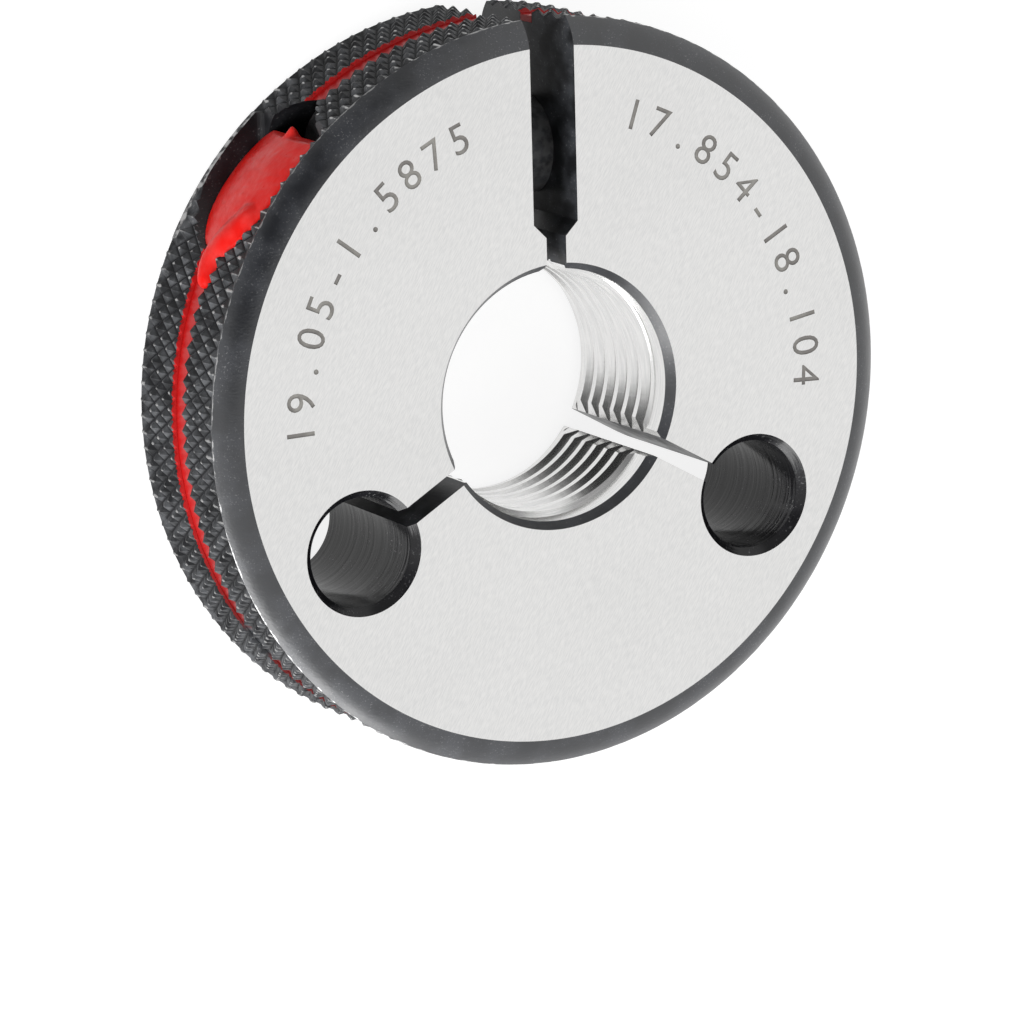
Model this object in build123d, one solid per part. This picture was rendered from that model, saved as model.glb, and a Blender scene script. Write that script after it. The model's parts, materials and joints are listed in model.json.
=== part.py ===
"""Adjustable thread ring gauge: a slotted, knurled ring with its locking and adjusting device.

The gauge's axis is Z, its lower face lies on Z = 0 and its adjusting slot opens towards +Y.
The device that sets and locks the slot lies along X, across the slot, at mid-thickness.
All lengths are in millimetres and all angles in degrees.
"""

import os
from math import cos, radians, sin

from build123d import *

# Blank, with a bulging bevel at each corner of the rim
outer_diameter = 53.98
thickness = 13.49
bevel_width = 1.95
bevel_height = 1.1
bevel_bulge = 0.17

# Threaded bore, drawn at the minor diameter of the thread
bore_diameter = 17.5
bore_mouth_diameter = 19.2

# Marking groove in the rim, and the enamel on its floor
groove_width = 1.6
groove_depth = 1.0
enamel_thickness = 0.45

# Adjusting slot: wide from the rim down to 45 degree shoulders, then a narrow neck
slot_angle = 90
slot_width = 3.56
slot_depth = 14.49
neck_width = 1.58

# Two blind flexing slots, each ending in a terminal hole
flexing_slot_width = 1.4
flexing_slot_spacing = 120
terminal_hole_diameter = 7.94
terminal_hole_wall = 4.52
terminal_hole_chamfer = 0.55

# Device axis: its depth below the rim, measured at the slot
device_depth = 9.79

# Sleeve that keeps both halves in line, between a shoulder on the left and the adjusting screw
sleeve_diameter = 7.0
sleeve_bore = 5.3
sleeve_reach = 5.0
sleeve_clearance = 0.02
sleeve_chamfer = 0.3

# Locking screw, from the left through the sleeve into the adjusting screw
locking_thread_diameter = 4.83
locking_engagement = 5.5
locking_head_diameter = 8.6
locking_head_height = 3.4
locking_counterbore_diameter = 9.3
locking_counterbore_depth = 5.9
clamped_wall = 4.5

# Adjusting screw, threaded into the right half
adjusting_thread_diameter = 9.5
adjusting_screw_depth = 13.49
adjusting_hole_overlap = 1.0
adjusting_chamfer = 0.5

# Both screws
thread_clearance = 0.05
driver_slot_width = 1.3
driver_slot_depth = 1.6
head_chamfer = 0.4

# Seal recess: a U-shaped pocket, open at the rim, over the locking screw
recess_width = 10.2
recess_depth = 10.09
recess_corner_radius = 0.6

# Sealing wax: a dome that fills the recess, and a run of wax down the groove
wax_dome_radius = 18.0
wax_dome_angle = 144
wax_lean = 2.3
wax_run_width = 2.4
wax_run_height = 0.75
wax_run_start = 148
wax_run_end = 157.5

# Derived places on the ring
outer_radius = outer_diameter / 2
bore_radius = bore_diameter / 2
bore_chamfer = (bore_mouth_diameter - bore_diameter) / 2
mid_height = thickness / 2
shoulder_radius = outer_radius - slot_depth
terminal_hole_offset = outer_radius - terminal_hole_wall - terminal_hole_diameter / 2
beyond = outer_radius + 5

# Derived places along the device axis, measured from the slot's middle
device_offset = outer_radius - device_depth
recess_floor = outer_radius - recess_depth
locking_head_seat = recess_floor - locking_counterbore_depth
sleeve_shoulder = locking_head_seat - clamped_wall
locking_reach = sleeve_reach + locking_engagement
adjusting_hole_start = sleeve_reach - adjusting_hole_overlap
adjusting_screw_end = outer_radius - adjusting_screw_depth


def cylinder_on_device(diameter, x_from, x_to):
    """Return a cylinder along the device axis between two distances from the slot's middle."""
    centre = Pos((x_from + x_to) / 2, device_offset, mid_height)
    return centre * Rot(0, 90, 0) * Cylinder(diameter / 2, x_to - x_from)


def prism(outline):
    """Extrude a closed plan outline through the blank and past both faces."""
    face = make_face(Polyline(outline, close=True))
    return Pos(0, 0, -thickness) * extrude(face, 3 * thickness)


def blank():
    """Return the turned blank: bevelled rim, marking groove and chamfered bore."""
    face_radius = outer_radius - bevel_width
    with BuildPart() as turned:
        with BuildSketch(Plane.XZ):
            with BuildLine() as outline:
                lower_edge = (outer_radius, bevel_height)
                upper_edge = (outer_radius, thickness - bevel_height)
                SagittaArc((face_radius, 0), lower_edge, -bevel_bulge)
                Line(lower_edge, upper_edge)
                SagittaArc(upper_edge, (face_radius, thickness), -bevel_bulge)
                Polyline((face_radius, thickness), *bore_side(), (face_radius, 0))
            make_face()
            with Locations((outer_radius, mid_height)):
                Rectangle(2 * groove_depth, groove_width, mode=Mode.SUBTRACT)
        revolve(axis=Axis.Z)
    return turned.part


def bore_side():
    """Return the corners of the blank's section round the chamfered bore, from the top down."""
    mouth_radius = bore_mouth_diameter / 2
    return [
        (mouth_radius, thickness),
        (bore_radius, thickness - bore_chamfer),
        (bore_radius, bore_chamfer),
        (mouth_radius, 0),
    ]


def adjusting_slot():
    """Return the cutter for the slot that splits the ring on one side."""
    half_width = slot_width / 2
    half_neck = neck_width / 2
    neck_end = shoulder_radius - (half_width - half_neck)
    outline = [
        (0, -half_neck),
        (neck_end, -half_neck),
        (shoulder_radius, -half_width),
        (beyond, -half_width),
        (beyond, half_width),
        (shoulder_radius, half_width),
        (neck_end, half_neck),
        (0, half_neck),
    ]
    return Rot(0, 0, slot_angle) * prism(outline)


def terminal_hole():
    """Return the cutter for one terminal hole, chamfered at both faces."""
    radius = terminal_hole_diameter / 2
    hole = Pos(0, 0, mid_height) * Cylinder(radius, 3 * thickness)
    mouth = Cone(radius + 2 * terminal_hole_chamfer, radius, 2 * terminal_hole_chamfer)
    top = Pos(0, 0, thickness) * Rot(180, 0, 0) * mouth
    return hole + mouth + top


def flexing_slots():
    """Return the cutters for the two blind slots and their terminal holes."""
    half_width = flexing_slot_width / 2
    outline = [
        (0, -half_width),
        (terminal_hole_offset, -half_width),
        (terminal_hole_offset, half_width),
        (0, half_width),
    ]
    cutter = prism(outline) + Pos(terminal_hole_offset, 0, 0) * terminal_hole()
    angles = [slot_angle + flexing_slot_spacing, slot_angle - flexing_slot_spacing]
    return [Rot(0, 0, angle) * cutter for angle in angles]


def seal_recess():
    """Return the cutter for the U-shaped pocket over the locking screw's head."""
    radius = recess_width / 2
    depth = beyond - recess_floor
    plan = Plane(
        origin=(-recess_floor, device_offset, mid_height), x_dir=(0, 1, 0), z_dir=(-1, 0, 0)
    )
    outline = Circle(radius) + Pos(beyond / 2, 0) * Rectangle(beyond, recess_width)
    cutter = extrude(plan * outline, depth)
    floor = cutter.faces().sort_by(Axis.X)[-1]
    return fillet(floor.edges(), recess_corner_radius)


def locking_counterbore():
    """Return the cutter for the round seat of the locking screw's head."""
    return cylinder_on_device(locking_counterbore_diameter, -recess_floor - 1, -locking_head_seat)


def adjusting_hole():
    """Return the cutter for the adjusting screw's tapped hole, from the right-hand rim."""
    return cylinder_on_device(adjusting_thread_diameter, adjusting_hole_start, beyond)


def device_bores():
    """Return the stepped cutters of the cross hole that carries the device."""
    sleeve_hole = sleeve_diameter + 2 * sleeve_clearance
    return [
        seal_recess(),
        locking_counterbore(),
        cylinder_on_device(sleeve_bore, -locking_head_seat - 1, 0),
        cylinder_on_device(sleeve_hole, -sleeve_shoulder, adjusting_hole_start),
        adjusting_hole(),
    ]


def ring_body():
    """Return the ring, cut from the blank by its slots and the device's cross hole."""
    return blank() - adjusting_slot() - flexing_slots() - device_bores()


def sleeve():
    """Return the sleeve that bridges the adjusting slot."""
    outside = cylinder_on_device(sleeve_diameter, -sleeve_shoulder, sleeve_reach)
    outside = chamfer(outside.edges().filter_by(GeomType.CIRCLE), sleeve_chamfer)
    return outside - cylinder_on_device(sleeve_bore, -beyond, beyond)


def driver_slot(x_from, x_to):
    """Return the cutter for a screwdriver slot between two distances from the slot's middle."""
    centre = Pos((x_from + x_to) / 2, device_offset, mid_height)
    return centre * Box(x_to - x_from, 3 * locking_head_diameter, driver_slot_width)


def locking_screw():
    """Return the slotted cheese-head screw that clamps the two halves."""
    top = locking_head_seat + locking_head_height
    head = cylinder_on_device(locking_head_diameter, -top, -locking_head_seat)
    rim = head.edges().filter_by(GeomType.CIRCLE).sort_by(Axis.X)[0]
    head = chamfer(rim, head_chamfer)
    shank = cylinder_on_device(locking_thread_diameter, -locking_head_seat, locking_reach)
    tip = shank.edges().filter_by(GeomType.CIRCLE).sort_by(Axis.X)[-1]
    shank = chamfer(tip, head_chamfer)
    return head + shank - driver_slot(-top, -top + driver_slot_depth)


def adjusting_screw():
    """Return the headless screw that bears on the sleeve and holds the locking screw's thread."""
    end = adjusting_screw_end
    outside = cylinder_on_device(adjusting_thread_diameter - 2 * thread_clearance, sleeve_reach, end)
    outside = chamfer(outside.edges().filter_by(GeomType.CIRCLE), adjusting_chamfer)
    tapped_hole = cylinder_on_device(locking_thread_diameter + 2 * thread_clearance, 0, beyond)
    return outside - tapped_hole - driver_slot(end - driver_slot_depth, end)


def groove_enamel():
    """Return the enamel on the groove's floor, broken by the slot and both device openings."""
    floor = outer_radius - groove_depth
    band = Cylinder(floor + enamel_thickness, groove_width) - Cylinder(floor, groove_width)
    band = Pos(0, 0, mid_height) * band
    return band - adjusting_slot() - seal_recess() - adjusting_hole()


def wax_run():
    """Return the run of wax that lies along the groove, below the recess."""
    with BuildPart() as run:
        with BuildSketch(Plane.XZ):
            with Locations((outer_radius - groove_depth, mid_height)):
                Ellipse(groove_depth + wax_run_height, wax_run_width / 2)
        revolve(axis=Axis.Z, revolution_arc=wax_run_end - wax_run_start)
    return Rot(0, 0, wax_run_start) * run.part


def wax_seal(body, screw, enamel):
    """Return the sealing wax, which fills what the body, screw and enamel leave free."""
    reach = outer_radius - wax_dome_radius
    angle = radians(wax_dome_angle)
    dome = Pos(reach * cos(angle), reach * sin(angle), mid_height + wax_lean) * Sphere(wax_dome_radius)
    fill = (seal_recess() + locking_counterbore()) & dome
    return fill + wax_run() - body - screw - enamel


def main():
    """Build every piece and write it to its own file."""
    os.makedirs("parts", exist_ok=True)
    body = ring_body()
    screw = locking_screw()
    enamel = groove_enamel()
    pieces = {
        "ring_body": body,
        "sleeve": sleeve(),
        "locking_screw": screw,
        "adjusting_screw": adjusting_screw(),
        "groove_enamel": enamel,
        "wax_seal": wax_seal(body, screw, enamel),
    }
    for name, piece in pieces.items():
        export_step(piece, f"parts/{name}.step")
        print(name, f"{piece.volume:.1f} mm3")


main()
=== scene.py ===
"""Looks of an adjustable thread ring gauge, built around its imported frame.

The gauge's axis is Z, its lower face lies on Z = 0 and its adjusting slot opens towards +Y.
Pieces are shaped in millimetres and brought to the frame's metres as they are finished.
"""

import json
import logging
from collections.abc import Callable, Iterable, Sequence
from dataclasses import dataclass, field
from enum import Enum
from itertools import pairwise
from math import atan2, cos, degrees, hypot, pi, radians, sin, tan
from typing import Any

import bmesh
import bpy
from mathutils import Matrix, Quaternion, Vector

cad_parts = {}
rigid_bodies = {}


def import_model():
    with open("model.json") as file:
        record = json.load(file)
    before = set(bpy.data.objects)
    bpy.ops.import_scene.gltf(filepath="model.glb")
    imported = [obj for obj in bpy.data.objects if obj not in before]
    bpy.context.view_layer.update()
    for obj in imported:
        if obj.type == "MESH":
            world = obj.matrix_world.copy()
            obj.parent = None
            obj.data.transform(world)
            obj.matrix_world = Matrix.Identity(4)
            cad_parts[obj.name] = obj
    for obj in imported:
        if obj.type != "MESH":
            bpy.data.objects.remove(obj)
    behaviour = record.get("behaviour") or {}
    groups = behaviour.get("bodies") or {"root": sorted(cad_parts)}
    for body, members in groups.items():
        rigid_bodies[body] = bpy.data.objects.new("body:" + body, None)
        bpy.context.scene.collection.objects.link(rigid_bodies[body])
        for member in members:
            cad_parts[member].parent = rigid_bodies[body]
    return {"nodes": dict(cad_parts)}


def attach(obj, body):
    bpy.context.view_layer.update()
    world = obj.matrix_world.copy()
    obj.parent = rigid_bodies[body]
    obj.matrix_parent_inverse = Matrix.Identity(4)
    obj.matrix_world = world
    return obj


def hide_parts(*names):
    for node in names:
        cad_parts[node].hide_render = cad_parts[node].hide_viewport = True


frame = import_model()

log = logging.getLogger("gauge")

BODY = "root"
THICKNESS = 13.49  # of the ring, in millimetres
MILLIMETRE = 0.001
NEAR = 0.01  # two places this close, in millimetres, are the same
MERGE = 0.001  # points this close, in millimetres, become one
LEVEL = 0.999  # how much of a level face's normal points up

Point = tuple[float, float]
Place = tuple[float, float, float]
Colour = tuple[float, float, float, float]
Key = tuple[float, float, float, float]
Solid = bpy.types.Object
Material = bpy.types.Material
Tree = bpy.types.NodeTree
PlaceTest = Callable[[Vector], bool]
FaceTest = Callable[[Vector, Vector], bool]


class Join(Enum):
    """How two solids are put together."""

    CUT = "DIFFERENCE"
    COMMON = "INTERSECT"


class Region(Enum):
    """The regions of the ring that have a finish of their own."""

    KNURL = 0
    CORNER = 1
    GROUND = 2
    PAINT = 3
    SLOT = 4
    HOLE = 5
    THREAD = 6
    MOUTH = 7
    RECESS = 8
    MARK = 9


# ---------------------------------------------------------------- workbench


def open_mesh(obj: Solid, selected: bool = False) -> None:
    """Open one object in edit mode.

    Args:
        obj: The object to edit.
        selected: Whether all of its mesh starts selected.
    """
    bpy.ops.object.select_all(action="DESELECT")
    bpy.context.view_layer.objects.active = obj
    obj.select_set(True)
    bpy.ops.object.mode_set(mode="EDIT")
    bpy.ops.mesh.select_mode(type="VERT")
    bpy.ops.mesh.select_all(action="SELECT" if selected else "DESELECT")


def close_mesh() -> None:
    """Go back to object mode."""
    bpy.ops.object.mode_set(mode="OBJECT")


def pick_faces(obj: Solid, test: FaceTest) -> None:
    """Select the faces of an open mesh that pass a test.

    Args:
        obj: The object in edit mode.
        test: Takes a face's centre and normal.
    """
    bpy.ops.mesh.select_mode(type="FACE")
    mesh = bmesh.from_edit_mesh(obj.data)
    for face in mesh.faces:
        face.select_set(test(face.calc_center_median(), face.normal))
    bmesh.update_edit_mesh(obj.data)


def pick_vertices(obj: Solid, test: PlaceTest) -> None:
    """Select the vertices of an open mesh that pass a test.

    Args:
        obj: The object in edit mode.
        test: Takes a vertex's place.
    """
    bpy.ops.mesh.select_mode(type="VERT")
    mesh = bmesh.from_edit_mesh(obj.data)
    for vertex in mesh.verts:
        vertex.select_set(test(vertex.co))
    mesh.select_flush_mode()
    bmesh.update_edit_mesh(obj.data)


def settle(obj: Solid) -> None:
    """Move an object's place, turn and scale into its mesh.

    Args:
        obj: The object.
    """
    bpy.ops.object.select_all(action="DESELECT")
    bpy.context.view_layer.objects.active = obj
    obj.select_set(True)
    bpy.ops.object.transform_apply(location=True, rotation=True, scale=True)


def shift(obj: Solid, place: Place = (0, 0, 0), turn: Place = (0, 0, 0)) -> Solid:
    """Turn an object, then move it, and settle both into its mesh.

    Args:
        obj: The object, with its mesh about the origin.
        place: The move along X, Y and Z.
        turn: The angles about X, Y and Z, in degrees.

    Returns:
        The same object.
    """
    obj.rotation_euler = [radians(angle) for angle in turn]
    obj.location = place
    settle(obj)
    return obj


def drawn(points: Iterable[Sequence[float]]) -> Solid:
    """Draw a chain of edges from point to point and leave it open in edit mode.

    Args:
        points: The corners, in order.

    Returns:
        The new object, with its last corner selected.
    """
    corners = [Vector(point) for point in points]
    bpy.ops.mesh.primitive_plane_add(size=1)
    obj = bpy.context.object
    open_mesh(obj, selected=True)
    bpy.ops.mesh.merge(type="CENTER")
    bpy.ops.transform.translate(value=corners[0])
    for here, there in pairwise(corners):
        bpy.ops.mesh.extrude_region_move(TRANSFORM_OT_translate={"value": there - here})
    return obj


def outward() -> None:
    """Turn all faces of the open mesh outwards."""
    bpy.ops.mesh.select_all(action="SELECT")
    bpy.ops.mesh.normals_make_consistent(inside=False)


def prism(outline: Sequence[Point], low: float, high: float) -> Solid:
    """Raise a closed plan outline into a solid.

    Args:
        outline: The corners in plan, in order.
        low: The height of its underside.
        high: The height of its top.

    Returns:
        The solid.
    """
    obj = drawn([(x, y, low) for x, y in outline])
    bpy.ops.mesh.select_all(action="SELECT")
    bpy.ops.mesh.edge_face_add()
    bpy.ops.mesh.extrude_region_move(TRANSFORM_OT_translate={"value": (0, 0, high - low)})
    outward()
    close_mesh()
    return obj


def swell(radius: float, new_radius: float, height: float = 0.0) -> None:
    """Bring the selection from one distance from the axis to another."""
    growth = new_radius / radius
    bpy.ops.transform.resize(value=(growth, growth, 1), center_override=(0, 0, height))


def turned(profile: Sequence[Point], segments: int, closed: bool = False) -> Solid:
    """Turn a profile about Z, as a circle drawn out ring by ring.

    Args:
        profile: Points of (radius, height).
        segments: The number of sides all round.
        closed: Whether the last ring joins the first. Otherwise both ends get a flat.

    Returns:
        The solid.
    """
    radius, height = profile[0]
    bpy.ops.mesh.primitive_circle_add(vertices=segments, radius=radius, location=(0, 0, height))
    obj = bpy.context.object
    settle(obj)
    open_mesh(obj, selected=True)
    for (from_radius, from_height), (to_radius, to_height) in pairwise(profile):
        move = (0, 0, to_height - from_height)
        bpy.ops.mesh.extrude_region_move(TRANSFORM_OT_translate={"value": move})
        swell(from_radius, to_radius, to_height)
    bpy.ops.mesh.select_mode(type="EDGE")
    bpy.ops.mesh.select_all(action="DESELECT")
    bpy.ops.mesh.select_non_manifold(extend=False)
    if closed:
        bpy.ops.mesh.bridge_edge_loops()
    else:
        bpy.ops.mesh.fill_holes(sides=0)
    outward()
    close_mesh()
    return obj


def finish_with(obj: Solid, kind: str, **settings: Any) -> None:
    """Give an object one modifier and apply it.

    Args:
        obj: The object.
        kind: The modifier's type.
        **settings: The modifier's own settings.
    """
    bpy.context.view_layer.objects.active = obj
    modifier = obj.modifiers.new(kind.title(), kind)
    for name, value in settings.items():
        setattr(modifier, name, value)
    bpy.ops.object.modifier_apply(modifier=modifier.name)


def combine(target: Solid, tool: Solid, join: Join) -> None:
    """Put a tool solid to a target, whose new faces keep the tool's material.

    Args:
        target: The solid that is kept.
        tool: The solid that is used up.
        join: How they are put together.
    """
    finish_with(
        target, "BOOLEAN", object=tool, operation=join.value, solver="MANIFOLD",
        material_mode="TRANSFER",
    )
    bpy.data.objects.remove(tool)


def wear_material(obj: Solid, *materials: Material) -> Solid:
    """Give an object these materials, the first of them all over.

    Args:
        obj: The object.
        *materials: Its materials.

    Returns:
        The same object.
    """
    obj.data.materials.clear()
    for material in materials:
        obj.data.materials.append(material)
    return obj


def wear_second(obj: Solid, test: FaceTest) -> None:
    """Give the faces that pass a test the object's second material.

    Args:
        obj: The object, with two materials.
        test: Takes a face's centre and normal.
    """
    open_mesh(obj)
    pick_faces(obj, test)
    obj.active_material_index = 1
    bpy.ops.object.material_slot_assign()
    close_mesh()


def roughen(obj: Solid, offset: float, seed: int) -> None:
    """Move an object's vertices a little at random.

    Args:
        obj: The object.
        offset: How far they may move.
        seed: The seed of the random moves.
    """
    open_mesh(obj, selected=True)
    bpy.ops.transform.vertex_random(offset=offset, seed=seed)
    close_mesh()


def drop_strays(obj: Solid, test: FaceTest) -> None:
    """Delete every face that isn't joined to a face that passes a test.

    Args:
        obj: The object.
        test: Takes a face's centre and normal.
    """
    open_mesh(obj)
    pick_faces(obj, test)
    bpy.ops.mesh.select_linked()
    bpy.ops.mesh.select_all(action="INVERT")
    bpy.ops.mesh.delete(type="VERT")
    close_mesh()


def hang_on_frame(obj: Solid, name: str, sharp: float) -> None:
    """Bring a piece from millimetres to metres, smooth it and let it ride on the frame's body.

    Args:
        obj: The piece.
        name: Its name.
        sharp: The angle in degrees above which an edge stays sharp.
    """
    obj.name = obj.data.name = name
    obj.scale = (MILLIMETRE,) * 3
    settle(obj)
    bpy.ops.object.shade_smooth_by_angle(angle=radians(sharp), keep_sharp_edges=False)
    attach(obj, BODY)
    log.info("%s: %d faces", name, len(obj.data.polygons))


# ---------------------------------------------------------------- nodes


class Wiring:
    """A node tree in the making."""

    def __init__(self, tree: Tree) -> None:
        """Start from an empty tree."""
        self.tree = tree
        tree.nodes.clear()

    def add(self, kind: str, inputs: dict[Any, Any] | None = None, **settings: Any) -> Any:
        """Place a node, then set or link its inputs.

        Args:
            kind: The node's type, without its ShaderNode prefix.
            inputs: Values or sockets, by the input's name or number.
            **settings: The node's own settings.

        Returns:
            The node.
        """
        node = self.tree.nodes.new(kind if kind.startswith("Node") else "ShaderNode" + kind)
        for name, value in settings.items():
            setattr(node, name, value)
        for key, value in (inputs or {}).items():
            socket = node.inputs[key]
            if isinstance(value, bpy.types.NodeSocket):
                self.tree.links.new(value, socket)
            else:
                socket.default_value = value
        return node

    def math(self, operation: str, *values: Any, clamp: bool = False) -> Any:
        """Work out a number from numbers or sockets."""
        inputs = dict(enumerate(values))
        return self.add("Math", inputs, operation=operation, use_clamp=clamp).outputs[0]

    def less(self, whole: Any, part: Any) -> Any:
        """Take one number from another."""
        return self.math("SUBTRACT", whole, part)

    def times(self, first: Any, second: Any, clamp: bool = False) -> Any:
        """Multiply two numbers."""
        return self.math("MULTIPLY", first, second, clamp=clamp)

    def blend(self, share: Any, first: Any, second: Any) -> Any:
        """Blend two colours by a share."""
        return self.add("Mix", {0: share, 6: first, 7: second}, data_type="RGBA").outputs[2]

    def ramp(self, value: Any, low: float, high: float, start: float = 0, end: float = 1) -> Any:
        """Spread a range of values smoothly over another."""
        inputs = {0: value, 1: low, 2: high, 3: start, 4: end}
        return self.add("MapRange", inputs, interpolation_type="SMOOTHSTEP").outputs[0]

    def noise(self, place: Any, scale: Any, detail: float = 4.0) -> Any:
        """Return the value of a noise texture."""
        return self.add("TexNoise", {"Vector": place, "Scale": scale, "Detail": detail}).outputs["Fac"]

    def place(self) -> Any:
        """Return the piece's own coordinates, in millimetres."""
        own = self.add("TexCoord").outputs["Object"]
        return self.add("VectorMath", {0: own, 3: 1 / MILLIMETRE}, operation="SCALE").outputs[0]

    def reach(self, place: Any) -> Any:
        """Return how far a place is from the gauge's axis."""
        flat = self.add("VectorMath", {0: place, 1: (1, 1, 0)}, operation="MULTIPLY").outputs[0]
        return self.add("VectorMath", {0: flat}, operation="LENGTH").outputs["Value"]

    def group(self, tree: Tree, **inputs: Any) -> Any:
        """Place a node group and return its node."""
        return self.add("Group", inputs, node_tree=tree)

    def put_out(self, output: Any, **values: Any) -> None:
        """Link values to the inputs of an output node."""
        for name, socket in values.items():
            self.tree.links.new(socket, output.inputs[name])


def new_group(
    name: str, inputs: dict[str, float | None], outputs: Sequence[str]
) -> tuple[Tree, Wiring, Any, Any]:
    """Start a shader node group.

    Args:
        name: The group's name.
        inputs: Each input's default value, or None for a vector.
        outputs: The names of the values that it puts out.

    Returns:
        The tree, its wiring, the sockets given to it and its output node.
    """
    tree = bpy.data.node_groups.new(name, "ShaderNodeTree")
    for label, default in inputs.items():
        kind = "NodeSocketVector" if default is None else "NodeSocketFloat"
        socket = tree.interface.new_socket(label, in_out="INPUT", socket_type=kind)
        if default is not None:
            socket.default_value = default
    for label in outputs:
        tree.interface.new_socket(label, in_out="OUTPUT", socket_type="NodeSocketFloat")
    wiring = Wiring(tree)
    return tree, wiring, wiring.add("NodeGroupInput").outputs, wiring.add("NodeGroupOutput")


def speckle_group() -> Tree:
    """Build the group for cloudy stains and fine specks on a blackened or ground surface.

    Returns:
        The group.
    """
    cloud_edge = (0.35, 0.7)
    speck_edge = (0.6, 0.74)
    tree, wire, given, out = new_group(
        "speckle", {"Place": None, "Cloud": 0.5, "Speck": 5.0}, ["Cloud", "Speck"]
    )
    place = given["Place"]
    cloud = wire.noise(place, given["Cloud"])
    speck = wire.noise(place, given["Speck"], detail=2.0)
    wire.put_out(out, Cloud=wire.ramp(cloud, *cloud_edge), Speck=wire.ramp(speck, *speck_edge))
    return tree


def grain_group() -> Tree:
    """Build the group for the fine lines that grinding or turning leaves along one direction.

    Returns:
        The group.
    """
    tree, wire, given, out = new_group(
        "grain", {"Place": None, "Turn": 0.0, "Fine": 12.0, "Size": None}, ["Line"]
    )
    turn = wire.add("CombineXYZ", {"Z": given["Turn"]}).outputs[0]
    inputs = {"Vector": given["Place"], "Rotation": turn}
    along = wire.add("VectorRotate", inputs, rotation_type="EULER_XYZ").outputs[0]
    inputs = {0: along, 1: given["Size"]}
    lines = wire.add("VectorMath", inputs, operation="MULTIPLY").outputs[0]
    wire.put_out(out, Line=wire.noise(lines, given["Fine"], detail=3.0))
    return tree


def wear_group() -> Tree:
    """Build the group for edges rubbed bright, by their sharpness or by their reach, and for painted
    shade that darkens hollows below a root radius.

    Returns:
        The group.
    """
    edge_fade, rub_fade, painted_shade_fade = 0.12, 0.06, 0.14
    ragged_edge = (0.3, 0.7, -0.05, 0.05)
    broken_edge = (0.35, 0.6, 0.25, 1.0)
    tree, wire, given, out = new_group(
        "wear", {"Place": None, "Edge": 0.55, "Reach": 99.0, "Patch": 1.0, "Root": 0.0},
        ["Worn", "Raised"],
    )
    place = given["Place"]
    sharp = wire.add("NewGeometry").outputs["Pointiness"]
    edge = wire.ramp(wire.less(sharp, given["Edge"]), 0, edge_fade)
    patch = wire.noise(place, given["Patch"])
    reach = wire.reach(place)
    rubbed = wire.math("ADD", reach, wire.ramp(patch, *ragged_edge))
    rubbed = wire.ramp(wire.less(rubbed, given["Reach"]), 0, rub_fade)
    broken = wire.ramp(patch, *broken_edge)
    worn = wire.times(wire.math("MAXIMUM", edge, rubbed), broken, clamp=True)
    # Painted shade: below the Root radius this share falls to zero, which keeps the hollows black.
    above_painted_shade = wire.ramp(wire.less(reach, given["Root"]), 0, painted_shade_fade)
    wire.put_out(out, Worn=worn, Raised=above_painted_shade)
    return tree


def coat_group() -> Tree:
    """Build the group for the paint in the marking groove, which thins out on one side, where painted
    shade also darkens it.

    Its ramps run over angles from the side towards -X in degrees, heights from the groove's
    middle in millimetres, or noise. The brim is the radius up to which the paint lies.

    Returns:
        The group.
    """
    brim = (4, 30, 26.88, 26.72)
    near_side_drop = (0.2, 0.5, 0, 0.25)
    lip_drop = (0.92, 0.97, 0, 0.14)
    ragged_edge, ragged_scale = (0.3, 0.7, -0.04, 0.04), 2.2
    brim_fade, side_fade = 0.02, 0.05
    chip_start, chip_end = (33, 36), (40.5, 43, 1, 0)
    # Painted shade: the angles over which the paint darkens to a deeper red.
    dim = (8, 40)
    tree, wire, given, out = new_group(
        "coat", {"Place": None, "Middle": THICKNESS / 2, "Width": 1.0}, ["Coat", "Shade"]
    )
    place = given["Place"]
    parts = wire.add("SeparateXYZ", {0: place})
    back = [wire.times(parts.outputs[axis], -1) for axis in ("Y", "X")]
    angle = wire.math("DEGREES", wire.math("ARCTAN2", *back))
    ragged = wire.ramp(wire.noise(place, ragged_scale, detail=3.0), *ragged_edge)
    rise = wire.less(parts.outputs["Z"], given["Middle"])
    lip = wire.math("ABSOLUTE", rise)
    top = wire.less(wire.ramp(angle, *brim), wire.ramp(rise, *near_side_drop))
    top = wire.less(top, wire.ramp(lip, *lip_drop))
    room = wire.less(top, wire.math("ADD", wire.reach(place), ragged))
    beyond = wire.less(wire.math("ADD", lip, ragged), given["Width"])
    band = wire.less(1, wire.ramp(beyond, 0, side_fade))
    chip = wire.times(wire.ramp(angle, *chip_start), wire.ramp(angle, *chip_end))
    kept = wire.less(1, chip)
    coat = wire.times(wire.ramp(room, -brim_fade, brim_fade), band)
    coat = wire.times(coat, kept, clamp=True)
    wire.put_out(out, Coat=coat, Shade=wire.ramp(angle, *dim))
    return tree


@dataclass
class Effects:
    """The node groups that several finishes share."""

    speckle: Tree = field(default_factory=speckle_group)
    grain: Tree = field(default_factory=grain_group)
    wear: Tree = field(default_factory=wear_group)
    coat: Tree = field(default_factory=coat_group)


def new_material(name: str) -> tuple[Material, Wiring]:
    """Start a node material.

    Args:
        name: Its name.

    Returns:
        The material and its wiring.
    """
    material = bpy.data.materials.new(name)
    material.use_nodes = True
    return material, Wiring(material.node_tree)


def surface(wire: Wiring, shader: Any) -> None:
    """Link a shader node to a new material output."""
    wire.put_out(wire.add("OutputMaterial"), Surface=shader.outputs[0])


def rough_surface(wire: Wiring, height: Any, depth: float, inputs: dict[str, Any]) -> None:
    """End a material with a principled shader over a bump.

    Args:
        wire: The material's wiring.
        height: The bump's height.
        depth: The bump's depth in millimetres.
        inputs: The shader's other inputs.
    """
    bump = wire.add("Bump", {"Height": height, "Distance": depth * MILLIMETRE})
    surface(wire, wire.add("BsdfPrincipled", inputs | {"Normal": bump.outputs[0]}))


# ---------------------------------------------------------------- finishes


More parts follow.
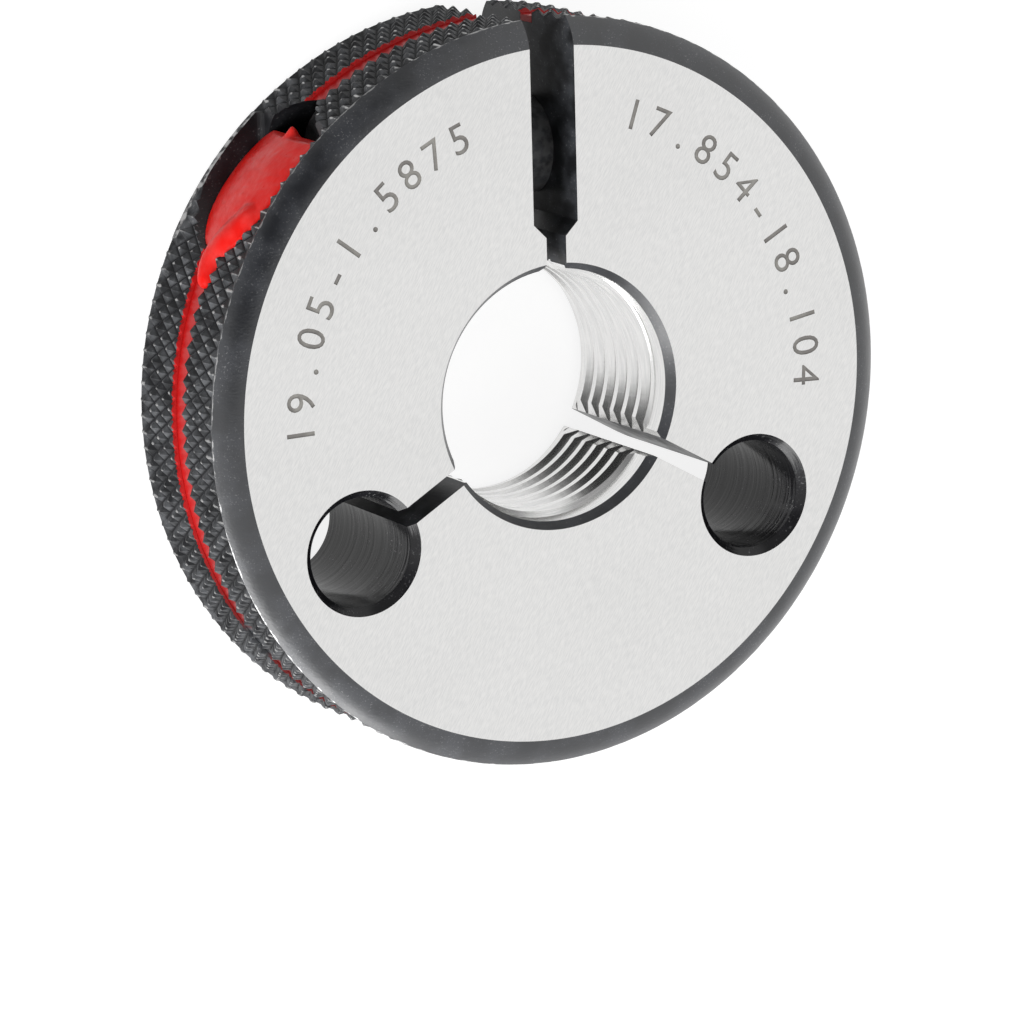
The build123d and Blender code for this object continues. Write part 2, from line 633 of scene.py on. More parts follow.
@dataclass(frozen=True)
class BlackOxide:
    """Blackened steel, with cloudy stains, tool marks, edges rubbed bright, painted parts, and painted
    shade in its hollows and on its paint towards one side.
    """

    name: str
    black: Colour = (0.010, 0.0105, 0.012, 1)
    stain: Colour = (0.045, 0.048, 0.054, 1)
    bare: Colour = (0.5, 0.5, 0.5, 1)
    paint: Colour = (0.42, 0.007, 0.007, 1)
    # The paint's colour under painted shade, towards one side of the ring.
    painted_shade_red: Colour = (0.12, 0.004, 0.004, 1)
    roughness: float = 0.4
    cloud: float = 0.7
    speck: float = 5.0
    edge: float = 1.0
    reach: float = 99.0
    patch: float = 1.5
    # The radius below which the colour is painted shade, black in the hollows.
    root: float = 0.0
    line_size: Place = (0.3, 1.0, 1.0)
    line_scale: float = 6.0
    bump: float = 0.012
    gloss: float = 0.3
    coated: float = 0.0
    speck_share: float = 0.35
    cloud_roughness: float = 0.08

    def material(self, effects: Effects) -> Material:
        """Build the material.

        Args:
            effects: The shared node groups.

        Returns:
            The material.
        """
        material, wire = new_material(self.name)
        place = wire.place()
        stains = wire.group(effects.speckle, Place=place, Cloud=self.cloud, Speck=self.speck)
        wear = wire.group(
            effects.wear, Place=place, Edge=self.edge, Reach=self.reach, Patch=self.patch, Root=self.root
        )
        marks = wire.group(effects.grain, Place=place, Fine=self.line_scale, Size=self.line_size)
        cloud = stains.outputs["Cloud"]
        # Cloudy stains, held out of the painted shade in the knurl's valleys.
        share = wire.times(cloud, wear.outputs["Raised"])
        specks = wire.times(share, self.speck_share)
        specks = wire.times(stains.outputs["Speck"], specks)
        worn = wire.math("MAXIMUM", wear.outputs["Worn"], specks)
        base = wire.blend(worn, wire.blend(share, self.black, self.stain), self.bare)
        if self.coated:
            coat = wire.group(effects.coat, Place=place, Width=self.coated)
            # Painted shade: the paint turns darker towards one side of the ring.
            paint = wire.blend(coat.outputs["Shade"], self.paint, self.painted_shade_red)
            base = wire.blend(coat.outputs["Coat"], base, paint)
            worn = wire.times(worn, wire.less(1, coat.outputs["Coat"]))
        rough = wire.ramp(cloud, 0, 1, self.roughness, self.roughness + self.cloud_roughness)
        inputs = {"Base Color": base, "Metallic": worn, "Roughness": rough}
        inputs["Specular IOR Level"] = self.gloss
        rough_surface(wire, marks.outputs["Line"], self.bump, inputs)
        return material


@dataclass(frozen=True)
class GroundSteel:
    """Hardened steel, ground or lapped to a satin with fine lines along one direction."""

    name: str
    bright: Colour = (0.84, 0.835, 0.825, 1)
    dull: Colour = (0.745, 0.745, 0.74, 1)
    roughness: float = 0.34
    turn: float = 0.0
    fine: float = 12.0
    size: Place = (0.13, 1.0, 1.0)
    bump: float = 0.004
    line_edge: Point = (0.3, 0.7)
    cloud: float = 0.08
    speck: float = 1.6
    smoother: float = 0.04
    rougher: float = 0.05

    def material(self, effects: Effects) -> Material:
        """Build the material.

        Args:
            effects: The shared node groups.

        Returns:
            The material.
        """
        material, wire = new_material(self.name)
        place = wire.place()
        grain = wire.group(
            effects.grain, Place=place, Turn=radians(self.turn), Fine=self.fine, Size=self.size
        )
        stains = wire.group(effects.speckle, Place=place, Cloud=self.cloud, Speck=self.speck)
        share = wire.ramp(grain.outputs["Line"], *self.line_edge)
        low, high = self.roughness - self.smoother, self.roughness + self.rougher
        inputs = {
            "Base Color": wire.blend(share, self.dull, self.bright),
            "Metallic": 1.0,
            "Roughness": wire.ramp(stains.outputs["Cloud"], 0, 1, low, high),
        }
        rough_surface(wire, grain.outputs["Line"], self.bump, inputs)
        return material


@dataclass(frozen=True)
class RedWax:
    """Red sealing wax, with pale streaks and soft lumps."""

    name: str
    deep: Colour = (0.74, 0.008, 0.005, 1)
    pale: Colour = (0.76, 0.05, 0.045, 1)
    roughness: float = 0.34
    smoother: float = 0.08
    rougher: float = 0.12
    gloss: float = 0.12
    glow: float = 0.1
    glow_reach: Place = (0.4, 0.05, 0.03)
    streak: float = 0.45
    streak_turn: float = 32
    streak_size: Place = (0.4, 1.0, 1.0)
    streak_edge: Point = (0.4, 0.68)
    mottle: float = 1.6
    mottle_edge: tuple[float, ...] = (0.35, 0.75, 0.5, 1.0)
    lump: float = 1.1
    lump_edge: Point = (0.2, 0.8)
    bump: float = 0.06

    def material(self, effects: Effects) -> Material:
        """Build the material.

        Args:
            effects: The shared node groups.

        Returns:
            The material.
        """
        material, wire = new_material(self.name)
        place = wire.place()
        streaks = wire.group(
            effects.grain, Place=place, Turn=radians(self.streak_turn), Fine=self.streak,
            Size=self.streak_size,
        )
        share = wire.ramp(streaks.outputs["Line"], *self.streak_edge)
        mottle = wire.ramp(wire.noise(place, self.mottle), *self.mottle_edge)
        lumps = wire.noise(place, self.lump)
        low, high = self.roughness - self.smoother, self.roughness + self.rougher
        inputs = {
            "Base Color": wire.blend(wire.times(share, mottle), self.deep, self.pale),
            "Roughness": wire.ramp(lumps, *self.lump_edge, low, high),
            "Specular IOR Level": self.gloss,
            "Subsurface Weight": self.glow,
            "Subsurface Radius": self.glow_reach,
            "Subsurface Scale": MILLIMETRE,
        }
        rough_surface(wire, lumps, self.bump, inputs)
        return material


# ---------------------------------------------------------------- the ring


@dataclass
class Ring:
    """The gauge's ring: knurled rim, painted groove, slots, holes, threaded bore and recess."""

    effects: Effects
    radius: float = 26.99
    thickness: float = THICKNESS
    corner_width: float = 1.95
    corner_height: float = 1.1
    corner_bulge: float = 0.17
    corner_steps: int = 12
    corner_turn: float = 4.0
    tip_radius: float = 27.05
    root_radius: float = 26.61
    teeth: int = 144
    tooth_rows: int = 16
    row_step: float = 0.975
    first_row: float = -1.25
    knurl_turn: float = 0.2
    tip_flat: float = 0.085
    land_strip: float = 0.2
    groove_width: float = 1.6
    groove_depth: float = 1.0
    groove_lip: float = 0.44
    groove_flare: float = 0.3
    slot_angle: float = 90
    slot_width: float = 3.56
    slot_depth: float = 14.49
    neck_width: float = 1.58
    flexing_width: float = 1.4
    flexing_spacing: float = 120
    slot_bevel: float = 0.6
    hole_diameter: float = 7.94
    hole_offset: float = 18.5
    hole_chamfer: float = 0.55
    bore_radius: float = 8.75
    thread_root: float = 9.52
    pitch: float = 1.5875
    crest_flat: float = 0.5
    crest_height: float = 11.5
    crest_angle: float = 8.0
    thread_low: float = 1.1
    thread_high: float = 11.29
    thread_turns: int = 10
    thread_steps: int = 120
    flank_angle: float = 30
    mouth_radius: float = 9.62
    relief_radius: float = 9.12
    mouth_depth: float = 0.7
    device_offset: float = 17.2
    recess_floor: float = 16.9
    recess_width: float = 10.2
    recess_round: float = 0.6
    recess_steps: int = 5
    counterbore_diameter: float = 9.3
    head_seat: float = 11.0
    screw_bore: float = 5.3
    sleeve_hole: float = 7.04
    sleeve_shoulder: float = 6.5
    adjusting_diameter: float = 9.5
    adjusting_start: float = 4.0
    beyond: float = 32.0
    overlap: float = 1.0
    sides: int = 288
    bore_sides: int = 192
    hole_sides: int = 96
    sharp: float = 9

    @property
    def middle(self) -> float:
        """The height of the groove and of the device's axis."""
        return self.thickness / 2

    def corner(self) -> list[Point]:
        """Work out the bulging corner's arc, from the upper face outwards past the rim.

        Returns:
            Its points of radius and height.
        """
        chord = hypot(self.corner_width, self.corner_height)
        lean = atan2(self.corner_height, self.corner_width)
        half_arc = 2 * atan2(2 * self.corner_bulge, chord)
        arc_radius = chord / (2 * sin(half_arc))
        start = lean - half_arc
        edge = self.radius - self.corner_width
        points = []
        for number in range(self.corner_steps + 1):
            angle = start + number * radians(self.corner_turn)
            out = edge + arc_radius * (sin(angle) - sin(start))
            points.append((out, self.thickness - arc_radius * (cos(start) - cos(angle))))
        return points

    def is_tip(self, place: Vector) -> bool:
        """Say whether a corner of the knurl's net is a tooth's tip.

        Args:
            place: The corner's place.

        Returns:
            Whether it is.
        """
        step = 180 / self.teeth
        column = round((degrees(atan2(place.y, place.x)) - self.knurl_turn) / step)
        row = round((place.z - self.first_row) / self.row_step)
        return (column + row) % 2 == 1

    def is_land(self, place: Vector) -> bool:
        """Say whether a corner of the net lies on the smooth land beside a turned corner.

        Args:
            place: The corner's place.

        Returns:
            Whether it does, or lies on the thin strip below the recess.
        """
        edge = self.corner_height + self.corner_bulge / 4
        half = self.recess_width / 2
        beside_recess = place.x < -self.recess_floor and place.y > self.device_offset - half
        on_strip = beside_recess and place.z < self.middle - half + self.land_strip
        return on_strip or not edge < place.z < self.thickness - edge

    def stock(self) -> Solid:
        """Build the knurled stock: a net of diamond teeth, taller than the ring.

        Returns:
            The stock.
        """
        net = [
            (self.root_radius, self.first_row + row * self.row_step)
            for row in range(self.tooth_rows + 1)
        ]
        obj = shift(turned(net, 2 * self.teeth), turn=(0, 0, self.knurl_turn))
        open_mesh(obj)
        pick_vertices(obj, self.is_tip)
        swell(self.root_radius, self.tip_radius)
        pick_faces(obj, lambda place, normal: abs(normal.z) < LEVEL)
        bpy.ops.mesh.quads_convert_to_tris(quad_method="SHORTEST_DIAGONAL")
        for old in (self.tip_radius, self.root_radius):
            pick_vertices(
                obj, lambda place: self.is_land(place) and abs(hypot(place.x, place.y) - old) < NEAR
            )
            swell(old, self.radius)
        pick_vertices(obj, lambda place: hypot(place.x, place.y) > self.radius + NEAR)
        bpy.ops.mesh.bevel(affect="VERTICES", offset=self.tip_flat, offset_type="OFFSET")
        close_mesh()
        return obj

    def envelope(self) -> Solid:
        """Build the turned envelope with both bulging corners.

        Returns:
            The envelope.
        """
        upper = self.corner()
        lower = [(out, self.thickness - height) for out, height in upper]
        return turned(lower + upper[::-1], self.sides)

    def groove(self) -> Solid:
        """Build the cutter for the marking groove.

        Returns:
            The cutter.
        """
        low, high = self.middle - self.groove_width / 2, self.middle + self.groove_width / 2
        floor, lip = self.radius - self.groove_depth, self.radius - self.groove_lip
        flare = (self.beyond - lip) * self.groove_flare
        section = [(floor, low), (lip, low), (self.beyond, low - flare)]
        section += [(self.beyond, high + flare), (lip, high), (floor, high)]
        return turned(section, self.sides, closed=True)

    def slot_outline(self, half: float, end: float) -> list[Point]:
        """Return one side of a slot's outline, from its bevelled mouth in the bore outwards."""
        inner = self.bore_radius - self.slot_bevel
        return [(inner, half + 2 * self.slot_bevel), (inner + 2 * self.slot_bevel, half), (end, half)]

    def slot(self, side: list[Point], angle: float) -> Solid:
        """Build a slot's cutter, through both faces.

        Args:
            side: One side of its outline, along +X.
            angle: Where it points, in degrees.

        Returns:
            The cutter.
        """
        outline = side + [(x, -y) for x, y in reversed(side)]
        return shift(prism(outline, -self.thickness, 2 * self.thickness), turn=(0, 0, angle))

    def adjusting_slot(self) -> Solid:
        """Build the cutter for the slot that splits the ring on one side.

        Returns:
            The cutter.
        """
        half, neck = self.slot_width / 2, self.neck_width / 2
        shoulder = self.radius - self.slot_depth
        side = self.slot_outline(neck, shoulder - (half - neck))
        side += [(shoulder, half), (self.beyond, half)]
        return self.slot(side, self.slot_angle)

    def flexing_slot(self, angle: float) -> Solid:
        """Build the cutter for a blind slot at an angle."""
        return self.slot(self.slot_outline(self.flexing_width / 2, self.hole_offset), angle)

    def terminal_hole(self, angle: float) -> Solid:
        """Build the cutter for a terminal hole, chamfered at both faces.

        Args:
            angle: Where it is, in degrees.

        Returns:
            The cutter.
        """
        hole, chamfer = self.hole_diameter / 2, self.hole_chamfer
        upper = [
            (hole, self.thickness - chamfer),
            (hole + 2 * chamfer, self.thickness + chamfer),
        ]
        lower = [(out, self.thickness - height) for out, height in reversed(upper)]
        turn = radians(angle)
        place = (self.hole_offset * cos(turn), self.hole_offset * sin(turn), 0)
        return shift(turned(lower + upper, self.hole_sides), place)

    def bore(self) -> Solid:
        """Build the cutter for the bore at the minor diameter, with its relieved mouths.

        Returns:
            The cutter.
        """
        step = self.relief_radius - self.bore_radius
        lower = [
            (self.mouth_radius, -self.overlap),
            (self.mouth_radius, 0.0),
            (self.relief_radius, self.mouth_depth),
            (self.relief_radius, self.thread_low),
            (self.bore_radius, self.thread_low + step),
        ]
        upper = [
            (self.bore_radius, self.thread_high - step),
            (self.relief_radius, self.thread_high),
            (self.relief_radius, self.thickness - self.mouth_depth),
            (self.mouth_radius, self.thickness),
            (self.mouth_radius, self.thickness + self.overlap),
        ]
        return turned(lower + upper, self.bore_sides)

    def is_slot_bevel(self, place: Vector, normal: Vector) -> bool:
        """Say whether a face of a slot is its bevelled mouth in the bore."""
        return abs(hypot(place.x, place.y) - self.bore_radius) < self.slot_bevel / 2

    def is_mouth_edge(self, place: Vector, normal: Vector) -> bool:
        """Say whether a face of the bore is the chamfer at a mouth."""
        return abs(place.z - self.middle) > self.middle - self.mouth_depth

    def tap(self) -> Solid:
        """Build the tap: a right-hand thread form swept up a helix and cut off flat.

        Returns:
            The tap.
        """
        flank = (self.thread_root - self.bore_radius) * tan(radians(self.flank_angle))
        root_flat = self.pitch - self.crest_flat - 2 * flank
        turns_below = self.crest_angle / 360 + self.thread_turns - 2
        base = self.crest_height - self.pitch * turns_below - self.crest_flat / 2
        heights = [0, self.crest_flat, self.crest_flat + flank, self.crest_flat + flank + root_flat]
        radii = [self.bore_radius, self.bore_radius, self.thread_root, self.thread_root]
        profile = list(zip(radii, heights)) + [(self.bore_radius, self.pitch)]
        obj = drawn([(out, 0, base + height) for out, height in profile])
        close_mesh()
        finish_with(
            obj, "SCREW", axis="Z", angle=2 * pi, screw_offset=self.pitch, iterations=self.thread_turns,
            steps=self.thread_steps, render_steps=self.thread_steps, use_merge_vertices=False,
        )
        open_mesh(obj, selected=True)
        bpy.ops.mesh.remove_doubles(threshold=MERGE)
        for height, outer in ((self.thread_low, False), (self.thread_high, True)):
            bpy.ops.mesh.select_all(action="SELECT")
            bpy.ops.mesh.bisect(
                plane_co=(0, 0, height), plane_no=(0, 0, 1), use_fill=True,
                clear_inner=not outer, clear_outer=outer,
            )
        outward()
        close_mesh()
        return obj

    def along_device(self, diameter: float, start: float, end: float, turn: float = 90) -> Solid:
        """Build a cylinder along the device's axis.

        Args:
            diameter: Its diameter.
            start: Where it starts, along the axis.
            end: Where it ends.
            turn: 90 for an axis towards +X, and -90 towards -X.

        Returns:
            The cylinder.
        """
        obj = turned([(diameter / 2, start), (diameter / 2, end)], self.hole_sides)
        return shift(obj, (0, self.device_offset, self.middle), (0, turn, 0))

    def recess(self) -> Solid:
        """Build the cutter for the U-shaped seal recess, its floor edge rounded.

        Returns:
            The cutter.
        """
        obj = self.along_device(self.recess_width, self.recess_floor, self.beyond, -90)
        open_mesh(obj)
        pick_vertices(obj, lambda place: place.y > self.device_offset + NEAR)
        bpy.ops.transform.translate(value=(0, self.beyond - self.device_offset, 0))
        pick_faces(obj, lambda place, normal: normal.x > LEVEL)
        bpy.ops.mesh.bevel(affect="EDGES", offset=self.recess_round, segments=self.recess_steps)
        close_mesh()
        return obj

    def device_holes(self) -> list[Solid]:
        """Build the cutters for the stepped cross hole, from the recess to the far rim.

        Returns:
            The cutters.
        """
        overlap = self.overlap
        steps = (
            (self.counterbore_diameter, -self.recess_floor - overlap, -self.head_seat),
            (self.screw_bore, -self.head_seat - overlap, 0),
            (self.sleeve_hole, -self.sleeve_shoulder, self.adjusting_start),
            (self.adjusting_diameter, self.adjusting_start, self.beyond),
        )
        return [self.along_device(*step) for step in steps]

    def cutters(self) -> list[tuple[Solid, Region]]:
        """Build all cutters, in the order in which they cut.

        Returns:
            Each cutter with the region that it leaves.
        """
        cutters = [
            (self.groove(), Region.PAINT),
            (self.adjusting_slot(), Region.SLOT),
            (self.recess(), Region.RECESS),
        ]
        cutters += [(hole, Region.RECESS) for hole in self.device_holes()]
        cutters += [(self.bore(), Region.MOUTH), (self.tap(), Region.THREAD)]
        cutters += [(digit, Region.MARK) for digit in Marking(self.thickness).solids()]
        for side in (1, -1):
            angle = self.slot_angle + side * self.flexing_spacing
            cutters.append((self.flexing_slot(angle), Region.SLOT))
            cutters.append((self.terminal_hole(angle), Region.HOLE))
        return cutters

    def build(self) -> None:
        """Build the ring and hang it on the frame."""
        materials = RingDress(self.effects).materials
        obj = wear_material(self.stock(), materials[Region.KNURL])
        envelope = wear_material(self.envelope(), materials[Region.CORNER], materials[Region.GROUND])
        wear_second(envelope, lambda place, normal: abs(normal.z) > LEVEL)
        combine(obj, envelope, Join.COMMON)
        seconds = {
            Region.SLOT: (materials[Region.THREAD], self.is_slot_bevel),
            Region.MOUTH: (materials[Region.CORNER], self.is_mouth_edge),
        }
        for cutter, region in self.cutters():
            if region in seconds:
                other, test = seconds[region]
                wear_material(cutter, materials[region], other)
                wear_second(cutter, test)
            else:
                wear_material(cutter, materials[region])
            combine(obj, cutter, Join.CUT)
        drop_strays(obj, lambda place, normal: normal.z > LEVEL)
        hang_on_frame(obj, "knurled_ring", self.sharp)
        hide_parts("ring_body")


class RingDress:
    """The ring's finishes, one for each region."""

    rings = (0.04, 0.04, 1.0)

    def __init__(self, effects: Effects) -> None:
        """Build every region's material.

        Args:
            effects: The shared node groups.
        """
        finishes = {
            # The knurl's root radius paints shade into its valleys.
            Region.KNURL: BlackOxide(
                "oxide_knurl", black=(0.013, 0.0135, 0.015, 1), stain=(0.095, 0.098, 0.104, 1),
                bare=(0.4, 0.4, 0.4, 1), roughness=0.5, reach=26.96, root=26.62, gloss=0.15,
                coated=1.22,
            ),
            Region.CORNER: BlackOxide(
                "oxide_corner", black=(0.011, 0.012, 0.015, 1), stain=(0.026, 0.028, 0.034, 1),
                roughness=0.3, cloud=0.4, speck=8.0, reach=26.94, patch=1.2, gloss=1.0,
            ),
            Region.GROUND: GroundSteel("ground_face", turn=-60),
            # The paint in the groove and in the knurl darkens towards one side with painted shade.
            Region.PAINT: BlackOxide("groove_paint", coated=1.4),
            Region.SLOT: BlackOxide("oxide_slot", roughness=0.3, line_size=(1.0, 1.0, 0.1)),
            Region.HOLE: BlackOxide(
                "oxide_hole", black=(0.006, 0.006, 0.007, 1), stain=(0.012, 0.012, 0.014, 1),
                roughness=0.16, line_size=self.rings, line_scale=3.0, bump=0.03, gloss=0.35,
            ),
            Region.THREAD: GroundSteel("lapped_thread", roughness=0.2, size=self.rings, bump=0.001),
            Region.MOUTH: GroundSteel("lapped_bore", roughness=0.24, size=self.rings, bump=0.001),
            Region.RECESS: BlackOxide("oxide_recess", stain=(0.02, 0.021, 0.024, 1)),
            Region.MARK: BlackOxide(
                "etched_mark", black=(0.2, 0.19, 0.18, 1), stain=(0.3, 0.29, 0.27, 1), roughness=0.5
            ),
        }
        self.materials = {region: finish.material(effects) for region, finish in finishes.items()}


# ---------------------------------------------------------------- marking


@dataclass
class Marking:
    """Plain numbers cut into the marked face along two arcs, their tops outwards."""

    face: float
    radius: float = 19.6
    size: float = 3.15
    depth: float = 0.05
    roundness: int = 4
    left: str = "19.05-1.5875"
    right: str = "17.854-18.104"
    left_arc: Point = (180.5, 111.5)
    right_arc: Point = (71.5, -2.5)

    def number(self, text: str, arc: Point) -> list[Solid]:
        """Build the solid digits of one number, spread evenly along an arc.

        Args:
            text: The number.
            arc: The angles of its first and last digit.

        Returns:
            The digits.
        """
        digits = []
        step = (arc[1] - arc[0]) / (len(text) - 1)
        for number, sign in enumerate(text):
            turn = radians(arc[0] + number * step)
            place = (self.radius * cos(turn), self.radius * sin(turn), self.face)
            bpy.ops.object.text_add(location=place, rotation=(0, 0, turn - radians(90)))
            digit = bpy.context.object
            digit.data.body = sign
            digit.data.size = self.size
            digit.data.align_x = "CENTER"
            digit.data.extrude = self.depth
            digit.data.resolution_u = self.roundness
            bpy.ops.object.convert(target="MESH")
            settle(digit)
            open_mesh(digit, selected=True)
            bpy.ops.mesh.remove_doubles(threshold=MERGE / 2)
            outward()
            close_mesh()
            digits.append(digit)
        return digits

    def solids(self) -> list[Solid]:
        """Build the digits of both numbers."""
        return self.number(self.left, self.left_arc) + self.number(self.right, self.right_arc)


# ---------------------------------------------------------------- wax and enamel


@dataclass
class Wax:
    """The sealing wax in the recess, with its nib and its run down the groove."""

    effects: Effects
    ring: Ring
    dome_radius: float = 18.0
    dome_centre: Place = (-7.27, 5.28, 8.6)
    dome_segments: int = 128
    dome_rings: int = 64
    brow: float = 19.25
    brow_lean: float = 0.02
    bead_steps: int = 4
    bead_roundness: int = 3
    voxel: float = 0.12
    lump: float = 0.05
    lump_seed: int = 4
    smoothing: float = 0.5
    smooth_rounds: int = 10
    sharp: float = 60
    nib: tuple[Key, ...] = (
        (-17.5, 18.5, 7.3, 1.1),
        (-17.5, 19.3, 7.4, 0.7),
        (-17.5, 19.9, 7.5, 0.38),
        (-17.5, 20.25, 7.55, 0.2),
    )
    run: tuple[Key, ...] = (
        (146.5, 25.6, 9.6, 1.7),
        (148.5, 25.75, 9.0, 1.6),
        (150.5, 25.95, 8.2, 1.45),
        (152.5, 26.1, 7.55, 1.3),
        (154.5, 26.2, 7.3, 1.2),
        (156.0, 26.35, 7.35, 1.0),
        (157.3, 26.5, 7.5, 0.78),
    )

    def dome(self) -> Solid:
        """Build the dome, which fills the recess up to its brow.

        Returns:
            The dome.
        """
        bpy.ops.mesh.primitive_uv_sphere_add(
            segments=self.dome_segments, ring_count=self.dome_rings, radius=self.dome_radius,
            location=self.dome_centre,
        )
        ball = bpy.context.object
        settle(ball)
        obj = self.ring.recess()
        combine(obj, ball, Join.COMMON)
        beyond = self.ring.beyond
        lean = self.brow_lean * beyond
        outline = [(-beyond, self.brow + lean), (0, self.brow), (0, beyond), (-beyond, beyond)]
        overlap = self.ring.overlap
        combine(obj, prism(outline, -overlap, self.ring.thickness + overlap), Join.CUT)
        return obj

    def beads(self, keys: Sequence[Sequence[float]]) -> list[Solid]:
        """Build a close row of beads that swells and thins as its keys say.

        Args:
            keys: The place and the radius at each key.

        Returns:
            The beads.
        """
        row = []
        for here, there in pairwise(keys):
            for step in range(self.bead_steps):
                share = step / self.bead_steps
                *place, radius = (start + (end - start) * share for start, end in zip(here, there))
                bpy.ops.mesh.primitive_ico_sphere_add(
                    subdivisions=self.bead_roundness, radius=radius, location=place
                )
                row.append(bpy.context.object)
        return row

    def build(self) -> None:
        """Build the wax and hang it on the frame."""
        obj = self.dome()
        run = [
            (reach * cos(radians(angle)), reach * sin(radians(angle)), height, radius)
            for angle, reach, height, radius in self.run
        ]
        bpy.ops.object.select_all(action="DESELECT")
        for part in (*self.beads(run), *self.beads(self.nib), obj):
            part.select_set(True)
        bpy.context.view_layer.objects.active = obj
        bpy.ops.object.join()
        settle(obj)
        finish_with(obj, "REMESH", mode="VOXEL", voxel_size=self.voxel)
        roughen(obj, self.lump, self.lump_seed)
        finish_with(obj, "SMOOTH", factor=self.smoothing, iterations=self.smooth_rounds)
        wear_material(obj, RedWax("sealing_wax").material(self.effects))
        hang_on_frame(obj, "wax_blob", self.sharp)
        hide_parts("wax_seal")


@dataclass
class Enamel:
    """The red enamel that lies in the marking groove and stops at each opening in the rim."""

    effects: Effects
    ring: Ring
    low: float = 25.97
    high: float = 26.5
    tuck: float = 0.04
    crown_share: float = 0.6
    lump: float = 0.02
    lump_seed: int = 2
    sharp: float = 30

    def build(self) -> None:
        """Build the enamel and hang it on the frame."""
        ring = self.ring
        half = ring.groove_width / 2 + self.tuck
        crown = half * self.crown_share
        section = [
            (self.low, ring.middle - half),
            (self.high, ring.middle - half),
            (self.high - self.tuck, ring.middle - crown),
            (self.high - self.tuck, ring.middle + crown),
            (self.high, ring.middle + half),
            (self.low, ring.middle + half),
        ]
        obj = turned(section, 2 * ring.sides, closed=True)
        roughen(obj, self.lump, self.lump_seed)
        openings = (
            ring.adjusting_slot(),
            ring.recess(),
            ring.along_device(ring.counterbore_diameter, -ring.beyond, -ring.head_seat),
            ring.along_device(ring.adjusting_diameter, ring.adjusting_start, ring.beyond),
        )
        for opening in openings:
            combine(obj, opening, Join.CUT)
        # The coat darkens the enamel towards one side with painted shade.
        enamel = BlackOxide("groove_enamel", roughness=0.35, coated=1.4)
        wear_material(obj, enamel.material(self.effects))
        hang_on_frame(obj, "enamel_band", self.sharp)
        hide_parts("groove_enamel")


# ---------------------------------------------------------------- carried-over nodes


@dataclass
class Device:
    """The sleeve and the screws, which keep the frame's shape and get their finish here."""

    effects: Effects
    names: tuple[str, ...] = ("sleeve", "locking_screw", "adjusting_screw")

    def dress(self) -> None:
        """Give each node its material and report it."""
        steel = BlackOxide("oxide_screw", roughness=0.3, edge=0.55).material(self.effects)
        for name in self.names:
            wear_material(frame["nodes"][name], steel)
            log.info("%s: dressed", name)


# ---------------------------------------------------------------- studio


def direction(azimuth: float, elevation: float) -> Vector:
    """Work out the direction from the gauge to a place around it, from angles in degrees."""
    turn, lift = radians(azimuth), radians(elevation)
    return Vector((cos(lift) * cos(turn), cos(lift) * sin(turn), sin(lift)))


@dataclass(frozen=True)
class Card:
    """A soft round card that darkens part of the surroundings, seen in reflections."""

    azimuth: float
    elevation: float
    half_angle: float
    light: float
    fade: float = 0.08

    def light_past(self, wire: Wiring, way: Any, dome_light: float) -> Any:
        """Work out the light that comes past the card.

        Args:
            wire: The world's wiring.
            way: The direction looked in.
            dome_light: The light beside the card.

        Returns:
            The light.
        """
        inputs = {0: way, 1: direction(self.azimuth, self.elevation)}
        nearness = wire.add("VectorMath", inputs, operation="DOT_PRODUCT").outputs["Value"]
        edge = cos(radians(self.half_angle))
        return wire.ramp(nearness, edge - self.fade, edge + self.fade, dome_light, self.light)


@dataclass(frozen=True)
class Lamp:
    """A soft rectangular lamp that faces the gauge, its size in metres and its power in watts."""

    name: str
    azimuth: float
    elevation: float
    size: Point
    power: float
    mirrored: bool = True
    distance: float = 0.7

    def hang(self, aim: Vector) -> None:
        """Hang the lamp.

        Args:
            aim: The place that it faces.
        """
        data = bpy.data.lights.new(self.name, "AREA")
        data.shape = "RECTANGLE"
        data.size, data.size_y = self.size
        data.energy = self.power
        lamp = bpy.data.objects.new(self.name, data)
        bpy.context.scene.collection.objects.link(lamp)
        away = direction(self.azimuth, self.elevation)
        lamp.location = aim + away * self.distance
        lamp.rotation_euler = away.to_track_quat("Z", "Y").to_euler()
        lamp.visible_glossy = self.mirrored


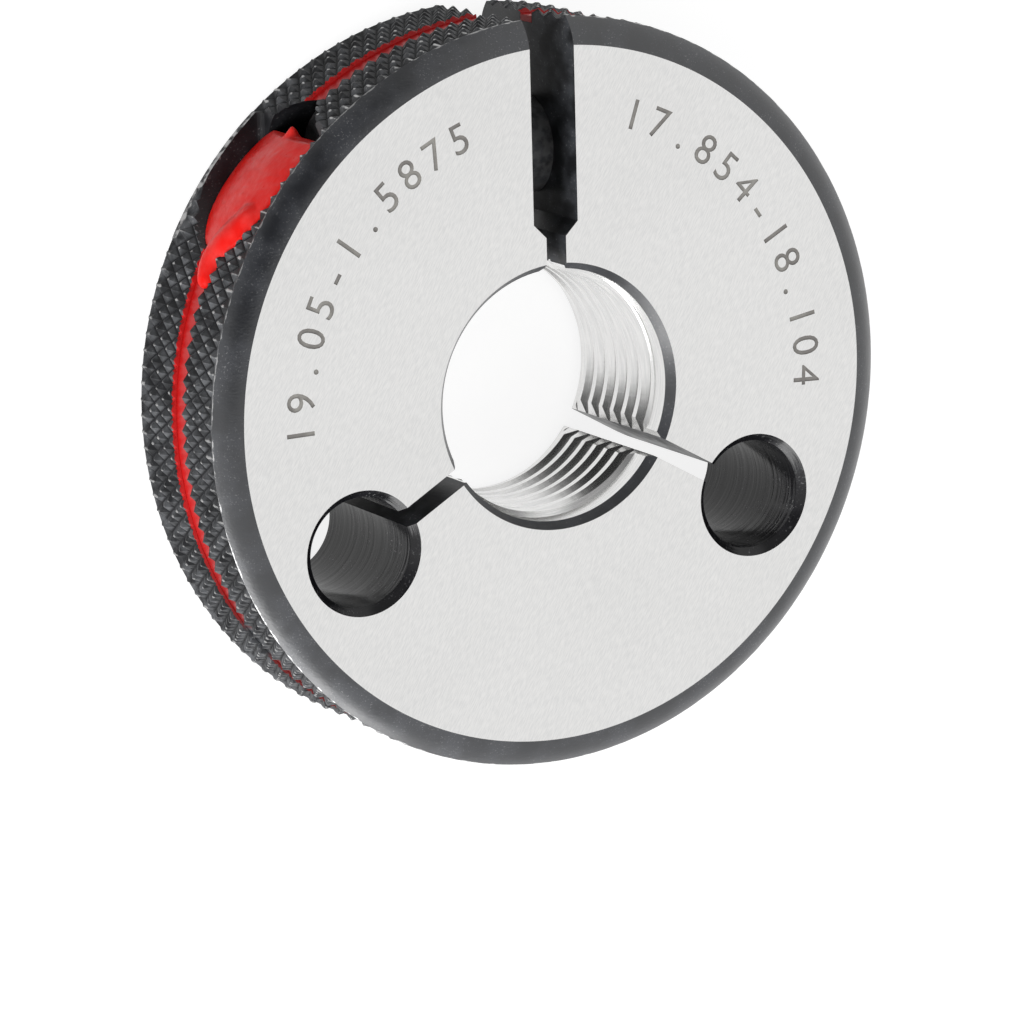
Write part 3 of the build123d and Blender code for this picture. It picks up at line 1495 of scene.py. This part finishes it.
@dataclass
class Studio:
    """The floor, the light and the camera, in metres and degrees."""

    aim: Place = (-0.000393, -0.009581, 0.006745)
    azimuth: float = 154.91
    elevation: float = 58.49
    distance: float = 0.39305
    roll: float = 110.282
    lens: float = 190.893
    clip: Point = (0.01, 10.0)
    floor_size: float = 3.0
    floor_glow: float = 0.86
    floor_tone: float = 0.28
    dome_light: float = 0.95
    cards: tuple[Card, ...] = (Card(128, 57, 30, 0.03), Card(120, 0, 50, 0.4))
    lamps: tuple[Lamp, ...] = (
        Lamp("key", 238, 7, (0.8, 0.4), 5.4),
        Lamp("fill", 198, 22, (0.3, 0.3), 3.2, mirrored=False),
    )

    def camera(self) -> None:
        """Place the camera and make it the scene's."""
        data = bpy.data.cameras.new("camera")
        data.lens = self.lens
        data.clip_start, data.clip_end = self.clip
        camera = bpy.data.objects.new("camera", data)
        bpy.context.scene.collection.objects.link(camera)
        away = direction(self.azimuth, self.elevation)
        camera.location = Vector(self.aim) + away * self.distance
        roll = Quaternion((0, 0, 1), radians(self.roll))
        camera.rotation_euler = (away.to_track_quat("Z", "Y") @ roll).to_euler()
        bpy.context.scene.camera = camera

    def floor(self) -> None:
        """Lay the floor, plain white to the eye and shaded where the gauge shades it."""
        bpy.ops.mesh.primitive_plane_add(size=self.floor_size)
        floor = bpy.context.object
        floor.name = "floor"
        material, wire = new_material("pale_floor")
        path = wire.add("LightPath")
        seen = wire.math("MAXIMUM", path.outputs["Is Camera Ray"], path.outputs["Is Glossy Ray"])
        seen = wire.math("MAXIMUM", seen, path.outputs["Is Transmission Ray"])
        strength = wire.times(seen, self.floor_glow)
        matt = wire.add("BsdfDiffuse", {"Color": (self.floor_tone,) * 3 + (1,)})
        glow = wire.add("Emission", {"Color": (1, 1, 1, 1), "Strength": strength})
        surface(wire, wire.add("AddShader", {0: matt.outputs[0], 1: glow.outputs[0]}))
        wear_material(floor, material)

    def world(self) -> None:
        """Give the surroundings an even pale light behind the cards, and a white look."""
        world = bpy.data.worlds.new("studio")
        world.use_nodes = True
        wire = Wiring(world.node_tree)
        path = wire.add("LightPath")
        way = wire.add("TexCoord").outputs["Generated"]
        light = self.dome_light
        for card in self.cards:
            light = wire.math("MINIMUM", light, card.light_past(wire, way, self.dome_light))
        strength = wire.math("MAXIMUM", light, path.outputs["Is Camera Ray"])
        back = wire.add("Background", {"Color": (1, 1, 1, 1), "Strength": strength})
        wire.put_out(wire.add("OutputWorld"), Surface=back.outputs[0])
        bpy.context.scene.world = world

    def build(self) -> None:
        """Set up the floor, the light and the camera."""
        self.floor()
        self.world()
        for lamp in self.lamps:
            lamp.hang(Vector(self.aim))
        self.camera()
        bpy.context.scene.view_settings.view_transform = "Standard"


def main() -> None:
    """Build every piece in order."""
    logging.basicConfig(level=logging.INFO, format="%(name)s: %(message)s")
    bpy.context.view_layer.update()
    effects = Effects()
    ring = Ring(effects)
    ring.build()
    Wax(effects, ring).build()
    Enamel(effects, ring).build()
    Device(effects).dress()
    Studio().build()


if __name__ == "__main__":
    main()
